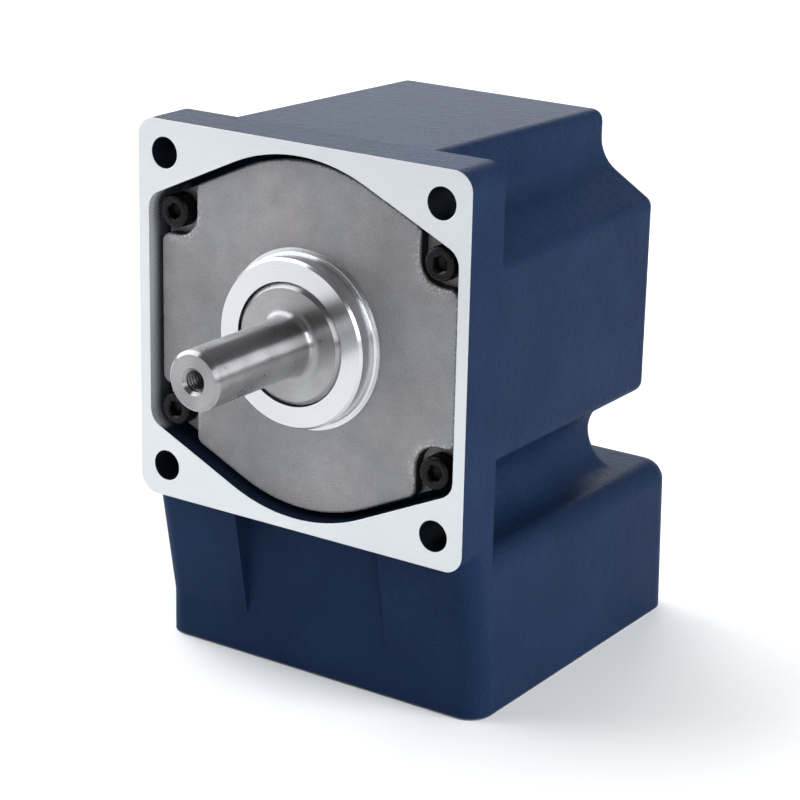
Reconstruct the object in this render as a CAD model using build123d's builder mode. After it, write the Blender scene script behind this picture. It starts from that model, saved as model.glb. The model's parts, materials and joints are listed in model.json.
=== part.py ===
from build123d import *
from math import atan, cos, hypot, pi, radians, sin, sqrt, tan
import os

os.makedirs("parts", exist_ok=True)

# Right-angle gearhead, in millimetres. The origin is the centre of the motor face, +Z runs up the
# motor's axis and the output shaft points to -Y. The motor's pinion turns the input gear, the
# bevel pair turns the drive through a right angle, and a spur pair drives the output shaft.

# Front plate and bolt pattern
frame = 80.0
plate_thickness = 11.4
plate_corner = 4.0
bolt_edge = 6.766
plate_bolt_r = 3.25

# Casting
plate_reach = 47.7
case_depth = 75.0
flange_height = 34.6
flange_corner = 6.0
flange_top_round = 4.5
flange_back_lean = 1.6
draft_angle = 1.6
case_round = 2.5
case_back_round = 3.0
relief_r = 7.5
relief_slope = 31.6
gusset_inset = 17.9
gusset_setback = 2.2
gusset_foot = 9.2
gusset_corner = 5.0

# Recess for the cover
recess_wall = 2.6
recess_slope = 25.0
recess_corner = 4.0
recess_depth = 9.8
cover_gap = 1.4
gasket_thickness = 0.5

# Cover
cover_setback = 2.3
ear_thickness = 4.0
cover_edge_round = 0.6
pocket_width = 10.4
pocket_drop = 7.8
pocket_corner = 5.0
ear_corner = 2.0
screw_inset = 5.25
screw_drop = 2.8
spigot_ledge = 4.4
spigot_depth = 3.0
base_ring_r = 18.6
base_ring_height = 0.45
boss_r = 17.4
boss_front = 2.6
boss_chamfer = 0.5
boss_foot_round = 0.6
lip_thickness = 2.0

# Screws
m4_r = 2.0
m4_head_r = 3.5
m4_head_height = 4.0
m4_hex = 3.0
cover_screw_length = 12.0
m3_r = 1.5
m3_head_r = 2.75
m3_head_height = 3.0
m3_hex = 2.5
carrier_screw_length = 12.0
socket_depth = 2.0
screw_tip_space = 1.5

# Clearances
seat_gap = 0.02
running_gap = 0.05
thread_gap = 0.03
end_gap = 0.3
collar_gap = 0.3

# Gear pairs
pressure_angle = radians(20)
tooth_thinning = 0.09
tip_clearance = 0.25
input_module = 1.0
input_teeth = 28
motor_teeth = 9
bevel_module = 1.25
bevel_teeth = 24
bevel_pinion_teeth = 12
bevel_face = 6.0
spur_module = 1.5
spur_teeth = 25
spur_pinion_teeth = 10
spur_shift = 0.35
input_width = 6.0
spur_pinion_extra = 0.5

# Output shaft
shaft_r = 6.0
shaft_reach = 30.0
shaft_chamfer = 0.7
shaft_foot_round = 1.6
centre_hole_r = 2.1
centre_hole_depth = 14.0
centre_sink_r = 2.75
collar_r = 12.4
collar_proud = 0.3
collar_chamfer = 0.9
collar_step_r = 11.4
collar_step = 0.9
gear_seat_r = 8.5
spacer_length = 2.1
spacer_r = 9.4

# Bearings: bore, outside and width
output_front = (10.0, 16.0, 7.0)
output_rear = (7.5, 14.0, 7.0)
cross_bearing = (4.0, 8.0, 5.0)
pinion_bearing = (5.0, 11.0, 6.0)
shield_gap = 0.3
seal_r = 15.0
seal_width = 4.0
seal_space = 1.0
rear_wall = 13.3

# Cross shaft
cross_shaft_r = 5.0
cross_sleeve_r = 5.8
cross_shoulder_r = 6.0
cross_shoulder = 1.7
cross_tail_r = 5.6
bevel_hub_r = 9.0
bevel_hub_length = 8.5
bevel_rim = 1.8

# Bevel pinion shaft and its carrier
carrier_wall = 6.0
carrier_thickness = 5.0
carrier_inset = 22.0
carrier_boss_wall = 2.0
carrier_lip = 1.5
carrier_lip_r = 9.2
carrier_screw_inset = 3.5
bearing_spacing = 4.5
spacer_wall = 1.6
pinion_neck_r = 6.0
input_seat_r = 4.5
input_hub_r = 6.2
input_hub_length = 2.2
shaft_tail = 1.0
circlip_thickness = 1.1
circlip_depth = 0.7
circlip_width = 1.8
circlip_opening = 4.0
circlip_wall = 0.8
motor_pilot_wall = 3.5
motor_pilot_depth = 3.0
motor_bolt_r = 2.5
motor_bolt_depth = 18.0
boss_clearance = 1.0
neck_half_width = 20.0

# Keys: width, height, depth in the shaft
gear_key = (5.0, 5.0, 3.0)
small_key = (3.0, 3.0, 1.8)
key_top_gap = 0.3
key_end = 1.0

# Places across the plate and the motor face
bolt_offset = frame / 2 - bolt_edge
recess_r = frame / 2 - recess_wall
recess_turn = radians(recess_slope)
recess_corner_z = recess_r * (cos(recess_turn) - (1 - sin(recess_turn)) * tan(recess_turn))
pocket_x = recess_r - pocket_width
pocket_z = recess_corner_z - pocket_drop
screw_x = recess_r - screw_inset
screw_z = recess_corner_z - screw_drop
spigot_r = recess_r - spigot_ledge
motor_pilot_r = frame / 2 - motor_pilot_wall
carrier_r = frame / 2 - carrier_wall
carrier_screw_circle = 2 * (carrier_r - carrier_screw_inset)

# Places worked out from the gear pairs
output_axis_z = flange_height + frame / 2
spur_distance = spur_module * (spur_teeth + spur_pinion_teeth) / 2
cross_axis_z = output_axis_z - spur_distance
input_distance = input_module * (input_teeth + motor_teeth) / 2
pinion_axis_y = -input_distance
bevel_r = bevel_module * bevel_teeth / 2
bevel_pinion_r = bevel_module * bevel_pinion_teeth / 2
cone_distance = hypot(bevel_r, bevel_pinion_r)
bevel_hub_end_y = pinion_axis_y + bevel_pinion_r + bevel_hub_length

# Places along the output axis, from the front
plate_front_y = -plate_reach
plate_back_y = plate_front_y + plate_thickness
recess_floor_y = plate_front_y + recess_depth
case_back_y = plate_front_y + case_depth
cover_front_y = plate_front_y + cover_setback
cover_back_y = recess_floor_y - gasket_thickness
ear_front_y = cover_back_y - ear_thickness
spigot_back_y = cover_back_y + spigot_depth
boss_front_y = plate_front_y - boss_front
collar_front_y = boss_front_y - collar_proud
seal_front_y = boss_front_y + lip_thickness
front_bearing_y = seal_front_y + seal_width + seal_space
shaft_tip_y = boss_front_y - shaft_reach
chamber_end_y = case_back_y - rear_wall
gear_back_y = chamber_end_y - spacer_length
spur_pinion_front_y = bevel_hub_end_y + cross_shoulder
spur_pinion_back_y = gear_back_y + spur_pinion_extra
gear_front_y = spur_pinion_front_y + spur_pinion_extra
spur_width = gear_back_y - gear_front_y
cross_front_y = cover_back_y - cross_bearing[2]

# Places up the pinion shaft
carrier_height = flange_height - carrier_inset
lower_bearing_z = carrier_height + circlip_thickness
spacer_z = lower_bearing_z + pinion_bearing[2]
upper_bearing_z = spacer_z + bearing_spacing
pinion_neck_z = upper_bearing_z + pinion_bearing[2]
carrier_top_z = carrier_height + carrier_thickness
carrier_boss_r = pinion_bearing[1] + carrier_boss_wall
input_gear_top_z = lower_bearing_z - input_hub_length
input_gear_z = input_gear_top_z - input_width


def across(y, z=output_axis_z):
    """Plane across a horizontal shaft at y, with its normal towards the front."""
    return Plane(origin=(0, y, z), x_dir=(1, 0, 0), z_dir=(0, -1, 0))


def level(z, y=0):
    """Horizontal plane at height z, centred at y."""
    return Plane(origin=(0, y, z))


# Turned pieces are drawn with their place along the shaft as x and their radius as y
output_plane = Plane(origin=(0, 0, output_axis_z), x_dir=(0, 1, 0), z_dir=(1, 0, 0))
output_line = Axis((0, 0, output_axis_z), (0, 1, 0))
cross_plane = Plane(origin=(0, 0, cross_axis_z), x_dir=(0, 1, 0), z_dir=(1, 0, 0))
cross_line = Axis((0, 0, cross_axis_z), (0, 1, 0))
pinion_plane = Plane(origin=(0, pinion_axis_y, 0), x_dir=(0, 0, 1), z_dir=(0, 1, 0))
pinion_line = Axis((0, pinion_axis_y, 0), (0, 0, 1))


def half_section(corners, bore=0):
    """Half the section of a turned piece, from the (place, radius) corners of its outside."""
    with BuildSketch() as section:
        Polygon((corners[0][0], bore), *corners, (corners[-1][0], bore), align=None)
    return section.sketch


def ring_section(start, length, bore, outside):
    return half_section([(start, outside), (start + length, outside)], bore)


def key_face(key, seat_r, side_gap=0, top_gap=0):
    """End view of a key or keyway, above the axis of a shaft of radius seat_r."""
    width, height, depth = key
    with BuildSketch() as face:
        with Locations((0, seat_r - depth + (height + top_gap) / 2)):
            Rectangle(width + 2 * side_gap, height + top_gap)
    return face.sketch


def socket_screw(shank_r, head_r, head_height, hex_across, length):
    """Hexagon socket screw with its head above the XY plane and its shank below."""
    with BuildPart() as screw:
        with BuildSketch():
            Circle(head_r)
        extrude(amount=head_height)
        with BuildSketch(Plane.XY.offset(head_height)):
            RegularPolygon(hex_across / 2, 6, major_radius=False)
        extrude(amount=-socket_depth, mode=Mode.SUBTRACT)
        with BuildSketch():
            Circle(shank_r - thread_gap)
        extrude(amount=-length)
    return screw.part


def finish(piece, name):
    """Name a finished piece and write it."""
    piece.part.label = name
    export_step(piece.part, f"parts/{name}.step")


# Gear teeth

def involute(angle):
    return tan(angle) - angle


def flank_angle(radius, pitch_r, thickness):
    """Half the angle that a tooth spans at a radius, for its thickness at the pitch circle."""
    base_r = pitch_r * cos(pressure_angle)
    local_angle = atan(sqrt(max((radius / base_r) ** 2 - 1, 0)))
    return thickness / 2 / pitch_r + involute(pressure_angle) - involute(local_angle)


def polar(radius, angle):
    return (radius * cos(angle), radius * sin(angle))


def toothed_outline(teeth, root, middle, tip, first_tooth):
    """Face of a gear whose flanks are arcs through three (radius, half angle) points."""
    step = 2 * pi / teeth
    with BuildSketch() as outline:
        with BuildLine():
            for number in range(teeth):
                centre = radians(first_tooth) + number * step
                rising = [polar(radius, centre - half) for radius, half in (root, middle, tip)]
                falling = [polar(radius, centre + half) for radius, half in (tip, middle, root)]
                ThreePointArc(*rising)
                Line(rising[2], falling[0])
                ThreePointArc(*falling)
                Line(falling[2], polar(root[0], centre + step - root[1]))
        make_face()
    return outline.sketch


def spur_outline(module, teeth, shift, first_tooth):
    """Face of an involute spur gear with profile shift."""
    pitch_r = module * teeth / 2
    tip_r = pitch_r + module * (1 + shift)
    root_r = pitch_r - module * (1 + tip_clearance - shift)
    foot_r = max(root_r, pitch_r * cos(pressure_angle))
    middle_r = (foot_r + tip_r) / 2
    thickness = module * (pi / 2 + 2 * shift * tan(pressure_angle)) - tooth_thinning
    root = (root_r, flank_angle(foot_r, pitch_r, thickness))
    middle = (middle_r, flank_angle(middle_r, pitch_r, thickness))
    tip = (tip_r, flank_angle(tip_r, pitch_r, thickness))
    return toothed_outline(teeth, root, middle, tip, first_tooth)


class Bevel:
    """One straight bevel gear, measured in its axial section from the pitch cones' apex."""

    def __init__(self, teeth, pitch_r, mate_r):
        self.teeth = teeth
        self.cone_angle = atan(pitch_r / mate_r)
        self.back_pitch_r = pitch_r / cos(self.cone_angle)
        self.back_apex = cone_distance / cos(self.cone_angle)

    def back_point(self, rise):
        """Radius and depth of the back cone's point that lies rise above the pitch cone."""
        back_r = self.back_pitch_r + rise
        return back_r * cos(self.cone_angle), self.back_apex - back_r * sin(self.cone_angle)

    def front_point(self, rise):
        """The same point at the teeth's small end."""
        scale = 1 - bevel_face / cone_distance
        radius, depth = self.back_point(rise)
        return radius * scale, depth * scale

    def outline(self, depth, first_tooth):
        """Face of the teeth on a plane across the axis at a depth from the apex."""
        thickness = bevel_module * pi / 2 - tooth_thinning
        points = []
        for rise in (-bevel_module * (1 + tip_clearance), 0, bevel_module):
            radius, own_depth = self.back_point(rise)
            half = flank_angle(self.back_pitch_r + rise, self.back_pitch_r, thickness)
            points.append((radius * depth / own_depth, half / cos(self.cone_angle)))
        return toothed_outline(self.teeth, *points, first_tooth)


def bevel_blank(gear, apex, first_tooth, rim):
    """Toothed part of a bevel gear, whose apex plane looks along the gear's axis."""
    dedendum = -bevel_module * (1 + tip_clearance)
    front_root = gear.front_point(dedendum)
    front_tip = gear.front_point(bevel_module)
    back_tip = gear.back_point(bevel_module)
    back_edge = gear.back_point(dedendum - rim)
    corners = [front_root, front_tip, back_tip, back_edge]
    with BuildPart() as blank:
        for depth in (front_tip[1] - 0.5, back_edge[1] + 0.5):
            with BuildSketch(apex.offset(depth)):
                add(gear.outline(depth, first_tooth))
        loft(ruled=True)
        with BuildSketch(Plane(apex.origin, apex.x_dir, apex.x_dir.cross(apex.z_dir))):
            Polygon((0, front_root[1]), *corners, (0, back_edge[1]), align=None)
        revolve(axis=Axis(apex.origin, apex.z_dir), mode=Mode.INTERSECT)
    return blank.part


def bearing_rings(sizes):
    """Radii of the gap between the inner ring and the shielded outer ring."""
    middle = (sizes[0] + sizes[1]) / 2
    return middle - shield_gap / 2, middle + shield_gap / 2


# Outlines shared by the casting and its cover

def recess_outline(gap):
    """Opening of the front plate, drawn in by a gap: a circle with tangents to two flat sides."""
    radius = recess_r - gap
    touch = (radius * sin(recess_turn), radius * cos(recess_turn))
    corner = (radius, touch[1] - (radius - touch[0]) * tan(recess_turn))
    with BuildSketch() as outline:
        with BuildLine():
            ThreePointArc((-touch[0], touch[1]), (0, radius), touch)
            Line(touch, corner)
            Line(corner, (corner[0], 0))
            Line((-touch[0], touch[1]), (-corner[0], corner[1]))
            Line((-corner[0], corner[1]), (-corner[0], 0))
            mirror(about=Plane.XZ)
        make_face()
        sides = outline.vertices().filter_by(lambda v: abs(v.X) > radius - 0.01 and abs(v.Y) > 1)
        fillet(sides, recess_corner - gap)
    return outline.sketch


def relief_outline(bottom):
    """Space beside a plate bolt: a round pocket for its nut, open to the side by a slope."""
    slope = radians(relief_slope)
    centre = (bolt_offset, frame / 2 - relief_r)
    wall_x = centre[0] - relief_r
    turn = pi / 4 - slope / 2
    inner = (centre[0] - relief_r * sin(pi / 2 - turn), centre[1] - relief_r * cos(pi / 2 - turn))
    touch = (centre[0] - relief_r * sin(slope), centre[1] - relief_r * cos(slope))
    outside = frame / 2 + relief_r
    exit_point = (outside, touch[1] - (outside - touch[0]) * tan(slope))
    with BuildSketch() as outline:
        with BuildLine():
            ThreePointArc((wall_x, centre[1]), inner, touch)
            Line(touch, exit_point)
            Line(exit_point, (outside, outside))
            if bottom:
                over = polar(relief_r, 3 * pi / 4)
                foot = (centre[0], frame / 2)
                ThreePointArc((wall_x, centre[1]), (centre[0] + over[0], centre[1] + over[1]), foot)
                Polyline(foot, (foot[0], outside), (outside, outside))
            else:
                Polyline((wall_x, centre[1]), (wall_x, outside), (outside, outside))
        make_face()
        mirror(about=Plane.YZ)
        if bottom:
            mirror(about=Plane.XZ, mode=Mode.REPLACE)
    return outline.sketch


# Gear case: one casting with the front plate, the gear chamber, the neck and the motor flange

with BuildPart() as gear_case:
    # Chamber and neck, with draft towards the back and bolt reliefs at the corners
    foot_overlap = relief_r / 2
    with BuildSketch(across(plate_back_y, output_axis_z - foot_overlap / 2)):
        Rectangle(frame, frame + foot_overlap)
    extrude(amount=plate_back_y - case_back_y, taper=draft_angle)
    for bottom in (False, True):
        with BuildSketch(across(plate_back_y)):
            add(relief_outline(bottom))
        extrude(amount=-case_depth, mode=Mode.SUBTRACT)
    ridge_reach = frame / 2 - (case_back_y - plate_back_y) * tan(radians(draft_angle))
    ridges = gear_case.edges().filter_by(lambda e: e.bounding_box().size.Y > case_depth / 2)
    side_ridges = ridges.filter_by(lambda e: abs(e.center().X) > ridge_reach)
    top_ridges = ridges.filter_by(lambda e: e.center().Z > output_axis_z + ridge_reach)
    fillet(side_ridges + top_ridges, case_round)
    back_rim = gear_case.faces().sort_by(Axis.Y)[-1].edges()
    fillet(back_rim.filter_by(lambda e: e.center().Z > flange_height + 0.1), case_back_round)

    # Motor flange, with its back leaning in and a wedge under the plate
    with BuildSketch(Plane.YZ):
        Polygon(
            (-frame / 2, 0),
            (frame / 2, 0),
            (frame / 2 - flange_back_lean, flange_height),
            (plate_back_y, flange_height),
            (plate_back_y, flange_height + plate_corner),
            (plate_front_y + gusset_setback, flange_height + plate_corner),
            (-frame / 2, gusset_foot),
            align=None,
        )
    extrude(amount=frame / 2, both=True)
    corners = gear_case.edges().filter_by(lambda e: abs(e.center().X) > frame / 2 - 0.01)
    upright = corners.filter_by(
        lambda e: e.center().Z < flange_height - 1 and e.bounding_box().size.Z > plate_corner
    )
    fillet(upright.filter_by(lambda e: e.center().Y > 0), flange_corner)
    fillet(upright.filter_by(lambda e: e.center().Y < 0), gusset_corner)

    # Front plate
    with BuildSketch(across(plate_front_y)):
        RectangleRounded(frame, frame, plate_corner)
    extrude(amount=-plate_thickness)

    # Rounding along the flange's top, behind the plate
    top_edges = gear_case.edges().filter_by(lambda e: abs(e.center().Z - flange_height) < 0.01)
    behind_plate = top_edges.filter_by(
        lambda e: e.bounding_box().min.Y > plate_back_y - 0.1 and e.center().Y > plate_back_y + 1
    )
    rim = behind_plate.filter_by(
        lambda e: abs(e.center().X) > frame / 2 - flange_corner or e.center().Y > case_back_y
    )
    fillet(rim, flange_top_round)

    # Flat panel between the two gussets
    with BuildSketch(Plane.XZ.offset(frame / 2)):
        with Locations((0, flange_height / 2)):
            Rectangle(2 * gusset_inset, flange_height)
    extrude(amount=frame / 2, mode=Mode.SUBTRACT)

    # Recess, plate bolts and cover screws
    with BuildSketch(across(plate_front_y)):
        add(recess_outline(0))
    extrude(amount=-recess_depth, mode=Mode.SUBTRACT)
    with BuildSketch(across(plate_front_y)):
        with GridLocations(2 * bolt_offset, 2 * bolt_offset, 2, 2):
            Circle(plate_bolt_r)
    extrude(amount=-plate_thickness, mode=Mode.SUBTRACT)
    with BuildSketch(across(ear_front_y)):
        with GridLocations(2 * screw_x, 2 * screw_z, 2, 2):
            Circle(m4_r)
    extrude(amount=-cover_screw_length - screw_tip_space, mode=Mode.SUBTRACT)

    # Gear chamber and the bearing seats in its end
    with BuildSketch(across(recess_floor_y)):
        Circle(spigot_r)
    extrude(amount=recess_floor_y - chamber_end_y, mode=Mode.SUBTRACT)
    for axis_z, sizes in ((output_axis_z, output_rear), (cross_axis_z, cross_bearing)):
        with BuildSketch(across(chamber_end_y, axis_z)):
            Circle(sizes[1])
        extrude(amount=-sizes[2] - end_gap, mode=Mode.SUBTRACT)

    # Neck cavity down to the bearing carrier
    with BuildSketch(Plane.XY.offset(carrier_top_z)):
        with Locations((0, (pinion_axis_y + chamber_end_y) / 2)):
            Rectangle(2 * neck_half_width, chamber_end_y - pinion_axis_y)
        with Locations((0, pinion_axis_y)):
            Circle(carrier_boss_r + boss_clearance)
    extrude(amount=cross_axis_z - carrier_top_z, mode=Mode.SUBTRACT)

    # Motor pilot, carrier bore and tapped holes
    with BuildSketch():
        Circle(motor_pilot_r)
    extrude(amount=motor_pilot_depth, mode=Mode.SUBTRACT)
    with BuildSketch():
        Circle(carrier_r)
    extrude(amount=carrier_top_z, mode=Mode.SUBTRACT)
    with BuildSketch():
        with GridLocations(2 * bolt_offset, 2 * bolt_offset, 2, 2):
            Circle(motor_bolt_r)
    extrude(amount=motor_bolt_depth, mode=Mode.SUBTRACT)
    with BuildSketch(Plane.XY.offset(carrier_height)):
        with PolarLocations(carrier_screw_circle / 2, 4, start_angle=45):
            Circle(m3_r)
    extrude(amount=carrier_screw_length + screw_tip_space, mode=Mode.SUBTRACT)
finish(gear_case, "gear_case")


# Cover with the output boss, its gasket and screws

with BuildPart() as front_cover:
    with BuildSketch(across(cover_back_y)):
        add(recess_outline(cover_gap))
    extrude(amount=cover_back_y - cover_front_y)

    # Pockets for the screw heads
    with BuildSketch(across(ear_front_y)) as pockets:
        with Locations(((pocket_x + frame / 2) / 2, (pocket_z + frame / 2) / 2)):
            Rectangle(frame / 2 - pocket_x, frame / 2 - pocket_z)
        inner = pockets.vertices().filter_by(lambda v: v.X < pocket_x + 1)
        fillet(inner.sort_by(Axis.Z)[0], pocket_corner)
        mirror(about=Plane.YZ)
        mirror(about=Plane.XZ)
    extrude(amount=ear_front_y - cover_front_y, mode=Mode.SUBTRACT)
    pocket_edges = front_cover.edges().filter_by(Axis.Y).filter_by(
        lambda e: e.center().Y < ear_front_y
        and hypot(e.center().X, e.center().Z - output_axis_z) > recess_r - 0.5
    )
    fillet(pocket_edges, ear_corner)
    fillet(front_cover.faces().sort_by(Axis.Y)[0].edges(), cover_edge_round)

    # Boss, its base ring and the spigot
    ring_front_y = cover_front_y - base_ring_height
    with BuildSketch(output_plane):
        add(
            half_section(
                [
                    (boss_front_y, boss_r - boss_chamfer),
                    (boss_front_y + boss_chamfer, boss_r),
                    (ring_front_y, boss_r),
                    (ring_front_y, base_ring_r),
                    (cover_back_y, base_ring_r),
                    (cover_back_y, spigot_r - running_gap),
                    (spigot_back_y, spigot_r - running_gap),
                ]
            )
        )
    revolve(axis=output_line)
    boss_foot = front_cover.edges().filter_by(GeomType.CIRCLE).filter_by(
        lambda e: abs(e.radius - boss_r) < 0.01 and abs(e.center().Y - ring_front_y) < 0.01
    )
    fillet(boss_foot, boss_foot_round)

    # Bores for the collar, the seal and the two bearings
    with BuildSketch(output_plane):
        add(
            half_section(
                [
                    (boss_front_y, collar_r + collar_gap),
                    (seal_front_y, collar_r + collar_gap),
                    (seal_front_y, seal_r),
                    (front_bearing_y, seal_r),
                    (front_bearing_y, output_front[1]),
                    (spigot_back_y, output_front[1]),
                ]
            )
        )
    revolve(axis=output_line, mode=Mode.SUBTRACT)
    with BuildSketch(across(spigot_back_y, cross_axis_z)):
        Circle(cross_bearing[1])
    extrude(amount=spigot_back_y - cross_front_y + end_gap, mode=Mode.SUBTRACT)
    with BuildSketch(across(ear_front_y)):
        with GridLocations(2 * screw_x, 2 * screw_z, 2, 2):
            Circle(m4_r + collar_gap)
    extrude(amount=-ear_thickness, mode=Mode.SUBTRACT)
finish(front_cover, "front_cover")

with BuildPart() as cover_gasket:
    with BuildSketch(across(recess_floor_y)):
        add(recess_outline(cover_gap))
        Circle(spigot_r, mode=Mode.SUBTRACT)
        with GridLocations(2 * screw_x, 2 * screw_z, 2, 2):
            Circle(m4_r + collar_gap, mode=Mode.SUBTRACT)
    extrude(amount=gasket_thickness)
finish(cover_gasket, "cover_gasket")

with BuildPart() as cover_screws:
    m4_screw = socket_screw(m4_r, m4_head_r, m4_head_height, m4_hex, cover_screw_length)
    with Locations(across(ear_front_y)):
        with GridLocations(2 * screw_x, 2 * screw_z, 2, 2):
            add(m4_screw)
finish(cover_screws, "cover_screws")

with BuildPart() as output_oil_seal:
    with BuildSketch(output_plane):
        add(ring_section(seal_front_y, seal_width, collar_r + running_gap, seal_r - seat_gap))
    revolve(axis=output_line)
finish(output_oil_seal, "output_oil_seal")


# Bearings, each as an inner ring and a shielded outer ring

bearings = (
    ("output_front_bearing", output_plane, output_line, front_bearing_y, output_front),
    ("output_rear_bearing", output_plane, output_line, chamber_end_y, output_rear),
    ("cross_front_bearing", cross_plane, cross_line, cross_front_y, cross_bearing),
    ("cross_rear_bearing", cross_plane, cross_line, chamber_end_y, cross_bearing),
    ("pinion_lower_bearing", pinion_plane, pinion_line, lower_bearing_z, pinion_bearing),
    ("pinion_upper_bearing", pinion_plane, pinion_line, upper_bearing_z, pinion_bearing),
)
for name, plane, line, start, sizes in bearings:
    bore_r, outside_r, width = sizes
    inner_edge, outer_edge = bearing_rings(sizes)
    with BuildPart() as inner_ring:
        with BuildSketch(plane):
            add(ring_section(start, width, bore_r + seat_gap, inner_edge))
        revolve(axis=line)
    finish(inner_ring, f"{name}_inner")
    with BuildPart() as outer_ring:
        with BuildSketch(plane):
            add(ring_section(start, width, outer_edge, outside_r - seat_gap))
        revolve(axis=line)
    finish(outer_ring, f"{name}_outer")


# Output shaft with its collar, gear, key and spacer

with BuildPart() as output_shaft:
    with BuildSketch(output_plane):
        add(
            half_section(
                [
                    (shaft_tip_y, shaft_r - shaft_chamfer),
                    (shaft_tip_y + shaft_chamfer, shaft_r),
                    (collar_front_y, shaft_r),
                    (collar_front_y, collar_r - collar_chamfer),
                    (collar_front_y + collar_chamfer, collar_r),
                    (front_bearing_y - collar_step, collar_r),
                    (front_bearing_y - collar_step, collar_step_r),
                    (front_bearing_y, collar_step_r),
                    (front_bearing_y, output_front[0]),
                    (gear_front_y, output_front[0]),
                    (gear_front_y, gear_seat_r),
                    (gear_back_y, gear_seat_r),
                    (gear_back_y, output_rear[0]),
                    (chamber_end_y + output_rear[2], output_rear[0]),
                ]
            )
        )
    revolve(axis=output_line)
    shaft_foot = output_shaft.edges().filter_by(GeomType.CIRCLE).filter_by(
        lambda e: abs(e.radius - shaft_r) < 0.01 and abs(e.center().Y - collar_front_y) < 0.01
    )
    fillet(shaft_foot, shaft_foot_round)
    with Locations(across(shaft_tip_y)):
        CounterSinkHole(centre_hole_r, centre_sink_r, centre_hole_depth, 90)
    with BuildSketch(across(gear_front_y + key_end)):
        add(key_face(gear_key, gear_seat_r))
    extrude(amount=2 * key_end - spur_width, mode=Mode.SUBTRACT)
finish(output_shaft, "output_shaft")

with BuildPart() as output_gear:
    with BuildSketch(across(gear_front_y)):
        add(spur_outline(spur_module, spur_teeth, -spur_shift, -90 + 180 / spur_teeth))
        Circle(gear_seat_r + seat_gap, mode=Mode.SUBTRACT)
        add(key_face(gear_key, gear_seat_r, seat_gap, key_top_gap), mode=Mode.SUBTRACT)
    extrude(amount=-spur_width)
finish(output_gear, "output_gear")

with BuildPart() as output_gear_key:
    with BuildSketch(across(gear_front_y + key_end)):
        add(key_face(gear_key, gear_seat_r))
    extrude(amount=2 * key_end - spur_width)
finish(output_gear_key, "output_gear_key")

with BuildPart() as output_spacer:
    with BuildSketch(output_plane):
        add(ring_section(gear_back_y, spacer_length, output_rear[0] + seat_gap, spacer_r))
    revolve(axis=output_line)
finish(output_spacer, "output_spacer")


# Cross shaft with its pinion, the bevel gear, key and spacer

large_bevel = Bevel(bevel_teeth, bevel_r, bevel_pinion_r)
bevel_front_y = pinion_axis_y + large_bevel.front_point(-bevel_module * (1 + tip_clearance))[1]

with BuildPart() as cross_shaft:
    with BuildSketch(cross_plane):
        add(
            half_section(
                [
                    (cross_front_y, cross_bearing[0]),
                    (cover_back_y, cross_bearing[0]),
                    (cover_back_y, cross_shaft_r),
                    (bevel_hub_end_y, cross_shaft_r),
                    (bevel_hub_end_y, cross_shoulder_r),
                    (spur_pinion_back_y, cross_shoulder_r),
                    (spur_pinion_back_y, cross_tail_r),
                    (chamber_end_y, cross_tail_r),
                    (chamber_end_y, cross_bearing[0]),
                    (chamber_end_y + cross_bearing[2], cross_bearing[0]),
                ]
            )
        )
    revolve(axis=cross_line)
    with BuildSketch(across(spur_pinion_front_y, cross_axis_z)):
        add(spur_outline(spur_module, spur_pinion_teeth, spur_shift, 90))
    extrude(amount=spur_pinion_front_y - spur_pinion_back_y)
    with BuildSketch(across(bevel_front_y + key_end, cross_axis_z)):
        add(key_face(small_key, cross_shaft_r))
    extrude(amount=bevel_front_y + 2 * key_end - bevel_hub_end_y, mode=Mode.SUBTRACT)
finish(cross_shaft, "cross_shaft")

with BuildPart() as bevel_gear:
    gear_apex = Plane((0, pinion_axis_y, cross_axis_z), (0, 0, -1), (0, 1, 0))
    add(bevel_blank(large_bevel, gear_apex, 180 / bevel_teeth, bevel_rim))
    with BuildSketch(across(bevel_hub_end_y, cross_axis_z)):
        Circle(bevel_hub_r)
    extrude(amount=bevel_hub_end_y - pinion_axis_y - bevel_pinion_r)
    with BuildSketch(across(bevel_hub_end_y, cross_axis_z)):
        Circle(cross_shaft_r + seat_gap)
        add(key_face(small_key, cross_shaft_r, seat_gap, key_top_gap))
    extrude(amount=bevel_hub_end_y - bevel_front_y, mode=Mode.SUBTRACT)
finish(bevel_gear, "bevel_gear")

with BuildPart() as bevel_gear_key:
    with BuildSketch(across(bevel_front_y + key_end, cross_axis_z)):
        add(key_face(small_key, cross_shaft_r))
    extrude(amount=bevel_front_y + 2 * key_end - bevel_hub_end_y)
finish(bevel_gear_key, "bevel_gear_key")

with BuildPart() as cross_spacer:
    with BuildSketch(cross_plane):
        add(
            ring_section(
                cover_back_y, bevel_front_y - cover_back_y, cross_shaft_r + seat_gap, cross_sleeve_r
            )
        )
    revolve(axis=cross_line)
finish(cross_spacer, "cross_spacer")


# Bevel pinion shaft with the input gear

small_bevel = Bevel(bevel_pinion_teeth, bevel_pinion_r, bevel_r)
pinion_back_depth = small_bevel.back_point(-bevel_module * (1 + tip_clearance))[1]
shaft_bottom_z = input_gear_z - circlip_thickness - shaft_tail
groove_r = input_seat_r - circlip_depth

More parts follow.
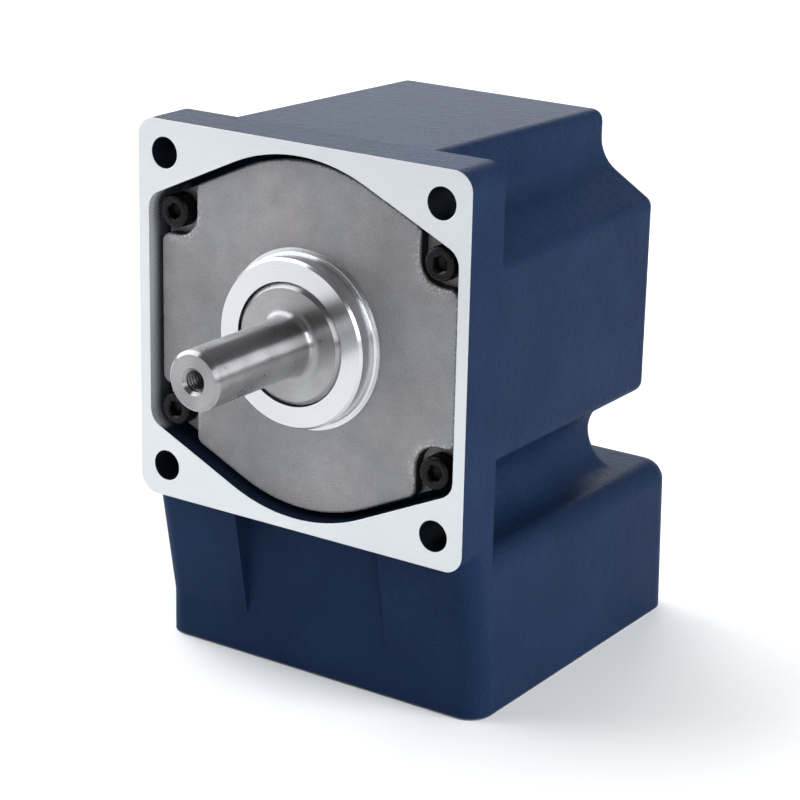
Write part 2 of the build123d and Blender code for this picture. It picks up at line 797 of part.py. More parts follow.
with BuildPart() as pinion_shaft:
    with BuildSketch(pinion_plane):
        add(
            half_section(
                [
                    (shaft_bottom_z, input_seat_r),
                    (input_gear_z - circlip_thickness - running_gap, input_seat_r),
                    (input_gear_z - circlip_thickness - running_gap, groove_r),
                    (input_gear_z, groove_r),
                    (input_gear_z, input_seat_r),
                    (lower_bearing_z, input_seat_r),
                    (lower_bearing_z, pinion_bearing[0]),
                    (pinion_neck_z, pinion_bearing[0]),
                    (pinion_neck_z, pinion_neck_r),
                    (cross_axis_z - pinion_back_depth + 0.2, pinion_neck_r),
                ]
            )
        )
    revolve(axis=pinion_line)
    pinion_apex = Plane((0, pinion_axis_y, cross_axis_z), (0, 1, 0), (0, 0, -1))
    add(bevel_blank(small_bevel, pinion_apex, 0, 0))
    with BuildSketch(level(input_gear_z + key_end, pinion_axis_y)):
        add(key_face(small_key, input_seat_r))
    extrude(amount=input_width - key_end, mode=Mode.SUBTRACT)
finish(pinion_shaft, "pinion_shaft")

with BuildPart() as input_gear:
    with BuildSketch(level(input_gear_z, pinion_axis_y)):
        add(spur_outline(input_module, input_teeth, 0, 90 + 180 / input_teeth))
    extrude(amount=input_width)
    with BuildSketch(level(input_gear_top_z, pinion_axis_y)):
        Circle(input_hub_r)
    extrude(amount=input_hub_length)
    with BuildSketch(level(input_gear_z, pinion_axis_y)):
        Circle(input_seat_r + seat_gap)
        add(key_face(small_key, input_seat_r, seat_gap, key_top_gap))
    extrude(amount=input_width + input_hub_length, mode=Mode.SUBTRACT)
finish(input_gear, "input_gear")

with BuildPart() as input_gear_key:
    with BuildSketch(level(input_gear_z + key_end, pinion_axis_y)):
        add(key_face(small_key, input_seat_r))
    extrude(amount=input_width - key_end)
finish(input_gear_key, "input_gear_key")

with BuildPart() as input_gear_circlip:
    with BuildSketch(level(input_gear_z - circlip_thickness, pinion_axis_y)):
        Circle(groove_r + running_gap + circlip_width)
        Circle(groove_r + running_gap, mode=Mode.SUBTRACT)
        with Locations((0, -groove_r - circlip_width / 2)):
            Rectangle(circlip_opening, 2 * circlip_width, mode=Mode.SUBTRACT)
    extrude(amount=circlip_thickness)
finish(input_gear_circlip, "input_gear_circlip")

with BuildPart() as pinion_spacer:
    with BuildSketch(pinion_plane):
        bore, outside = pinion_bearing[0] + seat_gap, pinion_bearing[0] + spacer_wall
        add(ring_section(spacer_z, bearing_spacing, bore, outside))
    revolve(axis=pinion_line)
finish(pinion_spacer, "pinion_spacer")


# Bearing carrier in the motor flange

boss_bottom_z = carrier_height - circlip_wall
clip_groove_r = pinion_bearing[1] + circlip_depth

with BuildPart() as bearing_carrier:
    with BuildSketch(Plane.XY.offset(carrier_height)):
        Circle(carrier_r - running_gap)
        with PolarLocations(carrier_screw_circle / 2, 4, start_angle=45):
            Circle(m3_r + collar_gap, mode=Mode.SUBTRACT)
    extrude(amount=carrier_thickness)
    with BuildSketch(pinion_plane):
        add(
            half_section(
                [(boss_bottom_z, carrier_boss_r), (pinion_neck_z + carrier_lip, carrier_boss_r)]
            )
        )
    revolve(axis=pinion_line)
    with BuildSketch(pinion_plane):
        add(
            half_section(
                [
                    (boss_bottom_z, pinion_bearing[1]),
                    (lower_bearing_z - circlip_thickness - running_gap, pinion_bearing[1]),
                    (lower_bearing_z - circlip_thickness - running_gap, clip_groove_r),
                    (lower_bearing_z, clip_groove_r),
                    (lower_bearing_z, pinion_bearing[1]),
                    (pinion_neck_z, pinion_bearing[1]),
                    (pinion_neck_z, carrier_lip_r),
                    (pinion_neck_z + carrier_lip, carrier_lip_r),
                ]
            )
        )
    revolve(axis=pinion_line, mode=Mode.SUBTRACT)
finish(bearing_carrier, "bearing_carrier")

with BuildPart() as carrier_circlip:
    with BuildSketch(level(lower_bearing_z - circlip_thickness, pinion_axis_y)):
        Circle(clip_groove_r - running_gap)
        Circle(clip_groove_r - running_gap - circlip_width, mode=Mode.SUBTRACT)
        with Locations((0, -clip_groove_r + circlip_width / 2)):
            Rectangle(circlip_opening, 2 * circlip_width, mode=Mode.SUBTRACT)
    extrude(amount=circlip_thickness)
finish(carrier_circlip, "carrier_circlip")

with BuildPart() as carrier_screws:
    m3_screw = socket_screw(m3_r, m3_head_r, m3_head_height, m3_hex, carrier_screw_length)
    with Locations(Plane(origin=(0, 0, carrier_height), z_dir=(0, 0, -1))):
        with PolarLocations(carrier_screw_circle / 2, 4, start_angle=45):
            add(m3_screw)
finish(carrier_screws, "carrier_screws")
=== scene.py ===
"""Looks of the right-angle gearhead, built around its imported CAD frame."""

import json
import math

import bmesh
import bpy
from mathutils import Matrix, Vector


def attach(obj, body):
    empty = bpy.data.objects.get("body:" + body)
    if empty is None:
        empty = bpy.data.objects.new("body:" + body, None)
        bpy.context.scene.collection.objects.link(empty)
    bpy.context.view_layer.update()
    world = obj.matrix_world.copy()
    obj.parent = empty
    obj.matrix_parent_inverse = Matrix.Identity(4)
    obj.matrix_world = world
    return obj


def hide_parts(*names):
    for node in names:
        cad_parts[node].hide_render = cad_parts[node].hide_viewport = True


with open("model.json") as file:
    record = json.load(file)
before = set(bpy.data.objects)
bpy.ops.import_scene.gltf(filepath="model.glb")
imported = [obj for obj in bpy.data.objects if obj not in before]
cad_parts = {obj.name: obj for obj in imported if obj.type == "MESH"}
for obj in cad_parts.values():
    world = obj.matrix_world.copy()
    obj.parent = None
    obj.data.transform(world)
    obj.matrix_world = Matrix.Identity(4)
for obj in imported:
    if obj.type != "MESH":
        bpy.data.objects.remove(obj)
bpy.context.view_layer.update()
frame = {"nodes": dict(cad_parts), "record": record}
nodes = frame["nodes"]
MM = 0.001

# Places that the materials and pieces share, in metres
mounts = {mount["name"]: mount for mount in frame["record"]["mounts"]}
OUTPUT_Z = mounts["output_shaft"]["pos_m"][2]
PLATE_Y = mounts["plate_face"]["pos_m"][1]
RECESS_FLOOR_Y = PLATE_Y + 0.0098
PINION_Y = -0.0185
BOLT_OFFSET = 0.033234
BOLT_HOLE_R = 0.0034
RECESS_REACH = 0.0388
PILOT_R = 0.0367
PILOT_ROOF_Z = 0.0177
BOSS_R = 0.01863
BASE_RING_R = 0.0195
BASE_RING_FRONT_Y = PLATE_Y + 0.0022
COVER_RIM_Y = PLATE_Y + 0.0031
CENTRE_HOLE_R = 0.0027

# Places of the screws and of the shaft's end, in millimetres
SCREW_X = 32.15
SCREW_UP = 21.026
EAR_Y = -42.4
CARRIER_SCREW_R = 30.5
CARRIER_Z = 12.6
SHAFT_END_Y = -80.3


# Camera at the photograph's viewing angle

camera_data = bpy.data.cameras.new("camera")
camera_data.lens = 112.8
camera_data.sensor_width = 36
camera_data.clip_start = 0.01
camera = bpy.data.objects.new("camera", camera_data)
bpy.context.scene.collection.objects.link(camera)
camera.matrix_world = (
    Matrix.Translation((0.28024, -0.42879, OUTPUT_Z + 0.14550))
    @ Matrix.Rotation(math.radians(33.83), 4, "Z")
    @ Matrix.Rotation(math.radians(90 - 18.39), 4, "X")
    @ Matrix.Rotation(math.radians(1.29), 4, "Z")
)
bpy.context.scene.camera = camera


# Small language for node trees

class Value:
    """A node socket that can be used in sums and masks."""

    def __init__(self, tree, socket):
        self.tree = tree
        self.socket = socket

    def __neg__(self):
        return self.math("MULTIPLY", -1.0)

    def math(self, operation, *others, clamp=False):
        node = self.tree.nodes.new("ShaderNodeMath")
        node.operation = operation
        node.use_clamp = clamp
        for number, item in enumerate((self, *others)):
            if isinstance(item, Value):
                self.tree.links.new(item.socket, node.inputs[number])
            else:
                node.inputs[number].default_value = item
        return Value(self.tree, node.outputs[0])

    def __add__(self, other):
        return self.math("ADD", other)

    def __sub__(self, other):
        return self.math("SUBTRACT", other)

    def __mul__(self, other):
        return self.math("MULTIPLY", other)

    def __rsub__(self, other):
        return (-self) + other

    def abs(self):
        return self.math("ABSOLUTE")

    def below(self, limit, soft=0.00002):
        """1 where the value is below the limit and 0 above it."""
        return self.step(limit + soft, limit - soft)

    def above(self, limit, soft=0.00002):
        return self.step(limit - soft, limit + soft)

    def step(self, start, end, low=0.0, high=1.0):
        """low at start and high at end, held level beyond them."""
        node = self.tree.nodes.new("ShaderNodeMapRange")
        node.clamp = True
        self.tree.links.new(self.socket, node.inputs["Value"])
        names = ("From Min", "From Max", "To Min", "To Max")
        for name, item in zip(names, (start, end, low, high)):
            node.inputs[name].default_value = item
        return Value(self.tree, node.outputs["Result"])


def fill_ramp(ramp, stops):
    """Give a colour ramp its (place, colour) stops."""
    while len(ramp.elements) < len(stops):
        ramp.elements.new(0.5)
    for element, (place, colour) in zip(ramp.elements, stops):
        element.position = place
        element.color = (*colour, 1)


class Look:
    """One procedural material, with the object's own coordinates at hand."""

    def __init__(self, name):
        self.material = bpy.data.materials.new(name)
        self.material.use_nodes = True
        self.tree = self.material.node_tree
        self.shader = self.tree.nodes["Principled BSDF"]
        self.coords = self.tree.nodes.new("ShaderNodeTexCoord")
        split = self.tree.nodes.new("ShaderNodeSeparateXYZ")
        self.tree.links.new(self.coords.outputs["Object"], split.inputs[0])
        self.x, self.y, self.z = (Value(self.tree, split.outputs[i]) for i in range(3))

    def set(self, name, number):
        self.shader.inputs[name].default_value = number

    def link(self, value, name):
        self.tree.links.new(value.socket, self.shader.inputs[name])

    def combine(self, x, y, z):
        node = self.tree.nodes.new("ShaderNodeCombineXYZ")
        for number, item in enumerate((x, y, z)):
            if isinstance(item, Value):
                self.tree.links.new(item.socket, node.inputs[number])
            else:
                node.inputs[number].default_value = item
        return Value(self.tree, node.outputs[0])

    def place(self, stretch):
        """The object's coordinates, each multiplied by its own factor."""
        node = self.tree.nodes.new("ShaderNodeMapping")
        node.inputs["Scale"].default_value = stretch
        self.tree.links.new(self.coords.outputs["Object"], node.inputs["Vector"])
        return Value(self.tree, node.outputs[0])

    def noise(self, scale, detail=2.0, roughness=0.5, at=None):
        """Noise from 0 to 1 with about scale bumps a metre."""
        node = self.tree.nodes.new("ShaderNodeTexNoise")
        node.inputs["Scale"].default_value = scale
        node.inputs["Detail"].default_value = detail
        node.inputs["Roughness"].default_value = roughness
        at = at or Value(self.tree, self.coords.outputs["Object"])
        self.tree.links.new(at.socket, node.inputs["Vector"])
        return Value(self.tree, node.outputs["Fac"])

    def ramp(self, value, *stops):
        """Colour or grey ramp through (place, colour) stops."""
        node = self.tree.nodes.new("ShaderNodeValToRGB")
        fill_ramp(node.color_ramp, stops)
        self.tree.links.new(value.socket, node.inputs["Fac"])
        return Value(self.tree, node.outputs["Color"])

    def mix(self, mask, low, high):
        """Colour mix: low where the mask is 0 and high where it is 1."""
        node = self.tree.nodes.new("ShaderNodeMix")
        node.data_type = "RGBA"
        self.tree.links.new(mask.socket, node.inputs[0])
        for socket, item in ((node.inputs[6], low), (node.inputs[7], high)):
            if isinstance(item, Value):
                self.tree.links.new(item.socket, socket)
            else:
                socket.default_value = (*item, 1)
        return Value(self.tree, node.outputs[2])

    def bump(self, height, distance, strength=1.0, below=None):
        """Bump of a height from 0 to 1, with its full height in metres."""
        node = self.tree.nodes.new("ShaderNodeBump")
        node.inputs["Strength"].default_value = strength
        node.inputs["Distance"].default_value = distance
        self.tree.links.new(height.socket, node.inputs["Height"])
        if below:
            self.tree.links.new(below.socket, node.inputs["Normal"])
        return Value(self.tree, node.outputs["Normal"])

    def facing(self, axis):
        """How far the surface faces along one of the world's axes, from 0 to 1."""
        plain = self.tree.nodes.new("ShaderNodeNewGeometry")
        split = self.tree.nodes.new("ShaderNodeSeparateXYZ")
        self.tree.links.new(plain.outputs["True Normal"], split.inputs[0])
        return Value(self.tree, split.outputs["xyz".index(axis)]).abs()

    def edges(self, radius):
        """Normal rounded over the edges."""
        soft = self.tree.nodes.new("ShaderNodeBevel")
        soft.samples = 6
        soft.inputs["Radius"].default_value = radius
        return Value(self.tree, soft.outputs[0])

    def turned(self, amount, ring_way):
        """Highlights drawn out across fine rings, which run along ring_way."""
        way = self.tree.nodes.new("ShaderNodeVectorTransform")
        way.vector_type = "VECTOR"
        way.convert_from = "OBJECT"
        way.convert_to = "WORLD"
        self.tree.links.new(self.combine(*ring_way).socket, way.inputs[0])
        self.tree.links.new(way.outputs[0], self.shader.inputs["Tangent"])
        self.set("Anisotropic", amount)
        self.set("Anisotropic Rotation", 0.25)


def pick(mask, low, high):
    """Number mix: low where the mask is 0 and high where it is 1."""
    if isinstance(low, Value):
        return low + (high - low) * mask
    if isinstance(high, Value):
        return (high - low) * mask + low
    return mask * (high - low) + low


# Paint and machined faces of the casting

def casting_look():
    """Navy paint, bare where the casting is machined."""
    look = Look("casting_paint")
    up = look.z - OUTPUT_Z
    across = look.x.abs().math("MAXIMUM", up.abs())
    face = look.y.below(PLATE_Y + 0.00003)
    to_bolt_x = look.x.abs() - BOLT_OFFSET
    to_bolt_z = up.abs() - BOLT_OFFSET
    from_bolt = (to_bolt_x * to_bolt_x + to_bolt_z * to_bolt_z).math("SQRT")
    hole_shade = from_bolt.below(BOLT_HOLE_R).math("SUBTRACT", face, clamp=True)
    recess = look.y.below(RECESS_FLOOR_Y + 0.0001) * across.below(RECESS_REACH)
    wall = recess.math("SUBTRACT", face, clamp=True).math("SUBTRACT", hole_shade, clamp=True)
    level = look.facing("z").above(0.7, 0.1)
    foot = look.z.below(0.0004) * level
    sill = look.z.below(0.00025).math("SUBTRACT", level, clamp=True)
    from_middle = (look.x * look.x + look.y * look.y).math("SQRT")
    inside_foot = look.z.below(PILOT_ROOF_Z) * from_middle.below(PILOT_R)
    metal = face.math("MAXIMUM", foot).math("MAXIMUM", inside_foot)

    # Orange peel of the paint, its dust and its slow change of tone
    peel = look.noise(1800, 2.0, 0.55)
    swell = look.noise(420, 2.0, 0.5)
    dust = look.noise(3400, 2.0, 0.6)
    cloud = look.noise(40, 3.0, 0.6)
    tone = cloud * 0.4 + peel * 0.3 + dust * 0.3
    paint = look.mix(tone.step(0.38, 0.62), (0.0062, 0.0152, 0.0430), (0.0112, 0.0252, 0.0640))
    paint = look.mix(dust.step(0.60, 0.76, 0.0, 0.5), paint, (0.034, 0.050, 0.092))
    # Inside of the bolt holes the navy paint is darkened nearly black: painted shade over the
    # real paint inside.
    paint = look.mix(hole_shade, paint, (0.006, 0.009, 0.019))

    # Milled plate and foot, and the wall of the recess with the marks of its cutter; the left
    # wall near the plate gets a bright bare tone, a painted highlight where that wall catches
    # the light
    sheen = look.noise(26, 2.0, 0.5)
    grain = look.noise(2600, 3.0, 0.7, look.place((0.05, 1, 1)))
    stain = look.noise(900, 3.0, 0.6)
    bare = look.mix(grain.step(0.3, 0.7), (0.575, 0.592, 0.612), (0.605, 0.620, 0.637))
    bare = look.mix(stain.step(0.66, 0.8, 0.0, 0.35), bare, (0.42, 0.43, 0.45))
    turn = up.math("ARCTAN2", look.x)
    marks = (turn * 660.0).math("SINE") * 0.5 + 0.5
    streak = look.noise(3000, 2.0, 0.6, look.place((1, 0.02, 1)))
    cut = marks * 0.6 + streak * 0.4
    milled = look.mix(cut.step(0.3, 0.7), (0.38, 0.395, 0.425), (0.68, 0.69, 0.71))
    sprayed = look.mix(cut.step(0.3, 0.8), (0.006, 0.011, 0.026), (0.016, 0.026, 0.055))
    # Bright milled tone on the left wall near the plate: painted highlight for the light that
    # wall catches. Deeper in, and on the other walls, the wall is dark navy overspray.
    deep = look.y.step(PLATE_Y + 0.0010, PLATE_Y + 0.0036, 0.0, 0.85)
    lit_wall = look.x.step(-0.0338, -0.0356) * (1.0 - deep)
    milled = look.mix(lit_wall, sprayed, milled)

    coat = look.mix(sill, look.mix(wall, paint, milled), (0.10, 0.10, 0.095))
    look.link(look.mix(metal, coat, bare), "Base Color")
    look.link(metal.math("MAXIMUM", wall * 0.25), "Metallic")
    coat_rough = pick(wall, dust.step(0.25, 0.75, 0.36, 0.58), 0.42)
    look.link(pick(metal, coat_rough, sheen.step(0.3, 0.7, 0.30, 0.40)), "Roughness")
    look.set("Specular IOR Level", 0.03)
    coat_height = pick(wall, peel * 0.35 + swell * 0.5 + dust * 0.15, cut * 0.35)
    height = pick(metal, coat_height, grain * 0.04)
    look.link(look.bump(height, 0.00026, 1.0, look.edges(0.00022)), "Normal")
    return look.material


def cast_look():
    """Shot-blasted aluminium, turned bright on the boss."""
    look = Look("cast_aluminium")
    up = look.z - OUTPUT_Z
    radius = (look.x * look.x + up * up).math("SQRT")
    turned = radius.below(BOSS_R) * look.y.below(BASE_RING_FRONT_Y)
    speck = look.noise(2600, 3.0, 0.7)
    cloud = look.noise(60, 4.0, 0.65)
    fine = look.noise(7000, 2.0, 0.5)
    blotch = look.noise(130, 3.0, 0.6)
    tone = speck * 0.5 + cloud * 0.3 + blotch * 0.2
    cool = look.ramp(
        tone,
        (0.34, (0.175, 0.180, 0.195)),
        (0.5, (0.250, 0.256, 0.274)),
        (0.66, (0.345, 0.35, 0.368)),
    )
    warm = look.ramp(
        tone,
        (0.34, (0.190, 0.180, 0.183)),
        (0.5, (0.272, 0.260, 0.264)),
        (0.66, (0.360, 0.35, 0.352)),
    )
    cast = look.mix(look.noise(45, 2.0, 0.5).step(0.4, 0.6), cool, warm)
    cast = look.mix(fine.step(0.64, 0.76, 0.0, 0.5), cast, (0.55, 0.55, 0.56))

    # Edges that the blasting and handling have brightened, with the brighter pocket rims also
    # a painted highlight where the rounded rims catch light
    to_screw_x = look.x.abs() - SCREW_X * MM
    to_screw_z = up.abs() - SCREW_UP * MM
    from_screw = (to_screw_x * to_screw_x + to_screw_z * to_screw_z).math("SQRT")
    outer = look.y.below(COVER_RIM_Y)
    level = look.facing("y")
    near = from_screw.step(0.0072, 0.0053) * 0.8
    rim = near.math("MAXIMUM", level.step(0.998, 0.93)) * outer * radius.above(BASE_RING_R)
    worn_and_lit_rim = rim * look.noise(2100, 3.0, 0.7).step(0.5, 0.62)
    cast = look.mix(worn_and_lit_rim, cast, (0.56, 0.56, 0.57))
    # Walls of the screw pockets darkened nearly black: painted shade.
    pocket_shade = (1.0 - outer) * look.y.below(RECESS_FLOOR_Y + 0.0002) * level.step(0.6, 0.3)
    cast = look.mix(pocket_shade, cast, (0.035, 0.036, 0.040))
    rings = look.noise(3500, 2.0, 0.6, look.combine(radius, 0.0, 0.0))
    bright = look.mix(rings.step(0.3, 0.7), (0.53, 0.54, 0.555), (0.61, 0.62, 0.63))
    bright = look.mix(level.above(0.5, 0.1), (0.72, 0.72, 0.75), bright)
    look.link(look.mix(turned, cast, bright), "Base Color")
    look.set("Metallic", 1.0)
    look.link(pick(turned, speck.step(0.3, 0.7, 0.46, 0.6), 0.24), "Roughness")
    look.turned(0.55, (-up, 0.0, look.x))
    height = pick(turned, speck * 0.7 + fine * 0.3, rings * 0.1)
    look.link(look.bump(height, 0.00016, 0.9), "Normal")
    return look.material


def steel_look(name, dark, light, roughness, upright=False):
    """Ground steel with fine rings round its axis, which is Y or stands up."""
    look = Look(name)
    along = look.z if upright else look.y
    rings = look.noise(3600, 3.0, 0.7, look.combine(along, 0.0, 0.0))
    side = look.y - PINION_Y if upright else look.z - OUTPUT_Z
    radius = (look.x * look.x + side * side).math("SQRT")
    turning = look.noise(3000, 3.0, 0.7, look.combine(radius, 0.0, 0.0))
    cloud = look.noise(160, 3.0, 0.6)
    flat = look.facing("z" if upright else "y").above(0.5, 0.1)
    tone = look.mix((rings * 0.75 + cloud * 0.25).step(0.35, 0.65), dark, light)
    faced = [[0.80 * part for part in colour] for colour in (dark, light)]
    faced = look.mix((turning * 0.6 + cloud * 0.4).step(0.35, 0.65), *faced)
    # Wall of the centre hole darkened: painted shade inside the hole.
    hole_shade = radius.below(CENTRE_HOLE_R) * (1.0 - flat)
    look.link(look.mix(hole_shade, look.mix(flat, tone, faced), (0.10, 0.095, 0.09)), "Base Color")
    look.set("Metallic", 1.0)
    look.link(cloud.step(0.3, 0.7, roughness * 0.85, roughness * 1.15), "Roughness")
    look.turned(0.93, (-side, look.x, 0.0) if upright else (-side, 0.0, look.x))
    return look.material


def plain_look(name, dark, light, roughness, metallic=0.0, gloss=0.5):
    """One tone with a fine grain."""
    look = Look(name)
    look.set("Specular IOR Level", gloss)
    grain = look.noise(1800, 3.0, 0.6)
    look.link(look.mix(grain.step(0.3, 0.7), dark, light), "Base Color")
    look.set("Metallic", metallic)
    look.link(grain.step(0.3, 0.7, roughness * 0.85, roughness * 1.15), "Roughness")
    look.link(look.bump(grain, 0.00004, 0.6), "Normal")
    return look.material


BLACK_OXIDE = ((0.0025, 0.0025, 0.003), (0.007, 0.007, 0.008))
RUBBER = ((0.008, 0.008, 0.008), (0.018, 0.018, 0.018))
BEARING_STEEL = ((0.5, 0.5, 0.52), (0.68, 0.68, 0.7))
STEEL = ((0.31, 0.305, 0.315), (0.44, 0.435, 0.445))
UPRIGHT_STEEL = ((0.34, 0.335, 0.345), (0.48, 0.475, 0.485))

looks = {
    "casting_paint": casting_look(),
    "cast_aluminium": cast_look(),
    "gasket": plain_look("gasket", (0.02, 0.02, 0.022), (0.05, 0.05, 0.05), 0.7),
    "black_oxide_steel": plain_look("black_oxide_steel", *BLACK_OXIDE, 0.28, 0.1, gloss=0.14),
    "seal_rubber": plain_look("seal_rubber", *RUBBER, 0.55),
    "bearing_steel": plain_look("bearing_steel", *BEARING_STEEL, 0.22, 1.0),
    "ground_steel": steel_look("ground_steel", *STEEL, 0.3),
    "gear_steel": plain_look("gear_steel", (0.3, 0.3, 0.31), (0.5, 0.5, 0.51), 0.34, 1.0),
}
slot_of = {part["node"]: part["material_slot"] for part in frame["record"]["subparts"]}
for name, node in nodes.items():
    node.data.materials.clear()
    node.data.materials.append(looks[slot_of[name]])
upright = steel_look("ground_steel_upright", *UPRIGHT_STEEL, 0.3, True)
nodes["pinion_shaft"].data.materials[0] = upright


# Screws and the thread in the shaft's end, in millimetres until they are placed

def ring(radius, height, count, groove=0.0, six_sided=False):
    """Points round Z; every third one is set back for a knurl, or they lie on a hexagon."""
    points = []
    for number in range(count):
        angle = 2 * math.pi * number / count
        reach = radius - (groove if number % 3 == 0 else 0.0)
        if six_sided:
            reach = radius / math.cos(angle % (math.pi / 3) - math.pi / 6)
        points.append(Vector((reach * math.cos(angle), reach * math.sin(angle), height)))
    return points


def stack(shape, rings, place):
    """Skin over rings of points, closed at both ends."""
    rows = [[shape.verts.new(place @ point) for point in points] for points in rings]
    for low, high in zip(rows, rows[1:]):
        for number in range(len(low)):
            after = (number + 1) % len(low)
            shape.faces.new((low[number], low[after], high[after], high[number]))
    shape.faces.new(list(reversed(rows[0])))
    shape.faces.new(rows[-1])


def add_screw(shape, place, head_r, head_height, hexagon, shank_r, length):
    """Knurled hexagon socket screw, its head above the XY plane."""
    count = 96
    socket = 0.5 * head_height
    lip = 0.075 * head_height
    rings = [
        ring(shank_r - 0.4, -length, count),
        ring(shank_r - 0.04, 0.4 - length, count),
        ring(shank_r - 0.04, 0.0, count),
        ring(head_r - 0.25, 0.0, count),
        ring(head_r, 0.25, count, 0.13),
        ring(head_r, 0.76 * head_height, count, 0.13),
        ring(head_r - 0.05, 0.80 * head_height, count),
    ]
    for turn in (15, 35, 55, 75, 90):
        angle = math.radians(turn)
        rounding = 0.17 * head_height
        rings.append(
            ring(
                head_r - 0.05 - rounding * (1 - math.cos(angle)),
                head_height - rounding * (1 - math.sin(angle)),
                count,
            )
        )
    rings += [
        ring(hexagon / math.sqrt(3) + 0.22, head_height, count),
        ring(hexagon / math.sqrt(3) + 0.10, head_height - 0.3 * lip, count),
        ring(hexagon / 2, head_height - lip, count, six_sided=True),
        ring(hexagon / 2, head_height - socket, count, six_sided=True),
        ring(hexagon / 2 * 0.7, head_height - socket - 0.12, count),
        ring(0.15, head_height - socket - 0.45, count),
    ]
    stack(shape, rings, place)


def add_piece(name, shape, body, slot, look, *replaced):
    """Turn a finished shape into a piece that rides on a body."""
    bmesh.ops.recalc_face_normals(shape, faces=shape.faces)
    mesh = bpy.data.meshes.new(name)
    shape.to_mesh(mesh)
    shape.free()
    mesh.shade_smooth()
    mesh.set_sharp_from_angle(angle=math.radians(32))
    mesh.materials.append(look)
    piece = bpy.data.objects.new(name, mesh)
    bpy.context.scene.collection.objects.link(piece)
    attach(piece, body)
    if replaced:
        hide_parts(*replaced)


def make_screws():
    """The cover's and the bearing carrier's screws, one piece for each pattern."""
    black = ("black_oxide_steel", looks["black_oxide_steel"])
    to_metres = Matrix.Scale(MM, 4)
    forwards = Matrix.Rotation(math.radians(90), 4, "X")
    shape = bmesh.new()
    turns = iter((12, 41, 3, 27))
    for x in (-SCREW_X, SCREW_X):
        for z in (OUTPUT_Z / MM - SCREW_UP, OUTPUT_Z / MM + SCREW_UP):
            spin = Matrix.Rotation(math.radians(next(turns)), 4, "Z")
            place = to_metres @ Matrix.Translation((x, EAR_Y, z)) @ forwards @ spin
            add_screw(shape, place, 3.5, 4.0, 3.0, 2.0, 12.0)
    add_piece("cover_socket_screws", shape, "housing", *black, "cover_screws")

    downwards = Matrix.Rotation(math.radians(180), 4, "X")
    shape = bmesh.new()
    turns = iter((8, 33, 52, 19))
    for number in range(4):
        angle = math.radians(45 + 90 * number)
        at = (CARRIER_SCREW_R * math.cos(angle), CARRIER_SCREW_R * math.sin(angle), CARRIER_Z)
        spin = Matrix.Rotation(math.radians(next(turns)), 4, "Z")
        place = to_metres @ Matrix.Translation(at) @ downwards @ spin
        add_screw(shape, place, 2.75, 3.0, 2.5, 1.5, 12.0)
    add_piece("carrier_socket_screws", shape, "housing", *black, "carrier_screws")


def make_thread():
    """Ridge of the thread in the shaft's centre hole."""
    shape = bmesh.new()
    pitch = 0.8
    turns = 14
    steps = 40
    rows = []
    for number in range(turns * steps + 1):
        angle = 2 * math.pi * number / steps
        along = SHAFT_END_Y + 0.95 + pitch * number / steps
        row = []
        for radius, side in ((2.13, -0.36), (1.84, -0.06), (1.84, 0.06), (2.13, 0.36)):
            x = radius * math.cos(angle)
            z = OUTPUT_Z / MM + radius * math.sin(angle)
            row.append(shape.verts.new(Vector((x, along + side, z)) * MM))
        rows.append(row)
    for low, high in zip(rows, rows[1:]):
        for number in range(4):
            after = (number + 1) % 4
            shape.faces.new((low[number], low[after], high[after], high[number]))
    shape.faces.new(rows[0])
    shape.faces.new(rows[-1])
    # The thread gets a dark steel, well below the shaft's: painted shade inside the centre
    # hole.
    thread_shade_look = plain_look("thread_steel_shaded", (0.10, 0.10, 0.10), (0.16, 0.16, 0.16), 0.4, 1.0)
    add_piece("shaft_end_thread", shape, "output", "ground_steel", thread_shade_look)


make_screws()
make_thread()


# Floor, soft studio lights and sky

MIDDLE = Vector((0, -0.01, 0.06))


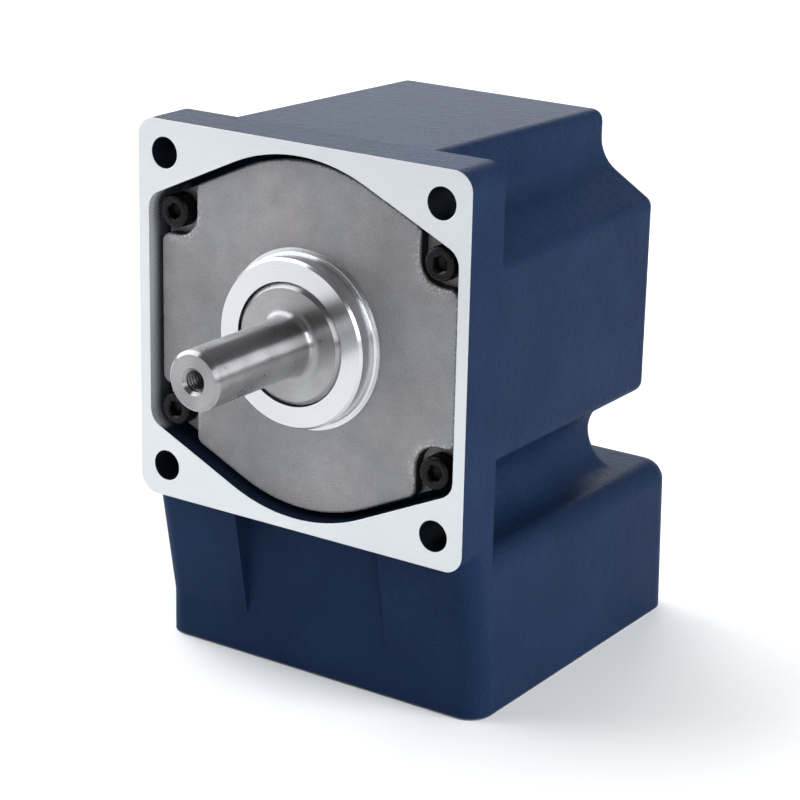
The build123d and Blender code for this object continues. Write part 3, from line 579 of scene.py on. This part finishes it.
def make_stage():
    """Plain pale floor, just under the foot."""
    mesh = bpy.data.meshes.new("floor")
    shape = bmesh.new()
    size = 12.0
    for x, y in ((-size, -size), (size, -size), (size, size), (-size, size)):
        shape.verts.new((x, y, -0.0002))
    shape.faces.new(shape.verts)
    shape.to_mesh(mesh)
    shape.free()
    floor = bpy.data.objects.new("floor", mesh)
    bpy.context.scene.collection.objects.link(floor)
    look = Look("floor")
    look.set("Roughness", 0.8)
    tone = look.noise(3, 2.0)
    look.link(look.mix(tone, (0.88, 0.88, 0.88), (0.9, 0.9, 0.9)), "Base Color")
    mesh.materials.append(look.material)


def area_light(name, at, size, power, size_y=None):
    """Cool white light that shines at the middle of the object."""
    data = bpy.data.lights.new(name, "AREA")
    data.shape = "RECTANGLE"
    data.size = size
    data.size_y = size_y or size
    data.energy = power
    data.color = (0.975, 1.0, 1.035)
    light = bpy.data.objects.new(name, data)
    light.location = at
    way = MIDDLE - Vector(at)
    light.rotation_euler = way.to_track_quat("-Z", "Y").to_euler()
    bpy.context.scene.collection.objects.link(light)


def make_world():
    """Sky that is bright below and low down, dark at half height, and brighter behind."""
    world = bpy.data.worlds.new("studio")
    world.use_nodes = True
    tree = world.node_tree
    place = tree.nodes.new("ShaderNodeTexCoord")
    split = tree.nodes.new("ShaderNodeSeparateXYZ")
    tree.links.new(place.outputs["Generated"], split.inputs[0])
    sky = tree.nodes.new("ShaderNodeValToRGB")
    greys = ((0.0, 1.0), (0.3, 1.0), (0.42, 0.35), (0.62, 0.1), (0.85, 0.3))
    fill_ramp(sky.color_ramp, [(at, (grey, grey, grey)) for at, grey in greys])
    tree.links.new(split.outputs["Z"], sky.inputs["Fac"])
    shade = Value(tree, split.outputs["Y"]).step(-1.0, 1.0, 0.6, 1.3)
    tone = tree.nodes.new("ShaderNodeMix")
    tone.data_type = "RGBA"
    tone.blend_type = "MULTIPLY"
    tone.inputs[0].default_value = 1.0
    tree.links.new(sky.outputs["Color"], tone.inputs[6])
    tree.links.new(shade.socket, tone.inputs[7])
    tree.links.new(tone.outputs[2], tree.nodes["Background"].inputs["Color"])
    bpy.context.scene.world = world


make_stage()
area_light("right", (0.9, 0.05, 0.55), 0.6, 9)
area_light("left", (-0.85, -0.15, 0.7), 1.3, 19)
area_light("strip", (0.62, -0.56, 0.33), 0.06, 1.0, 0.45)
area_light("back", (-0.6, 0.85, 0.55), 0.8, 5.5)
make_world()
bpy.context.scene.view_settings.view_transform = "Standard"
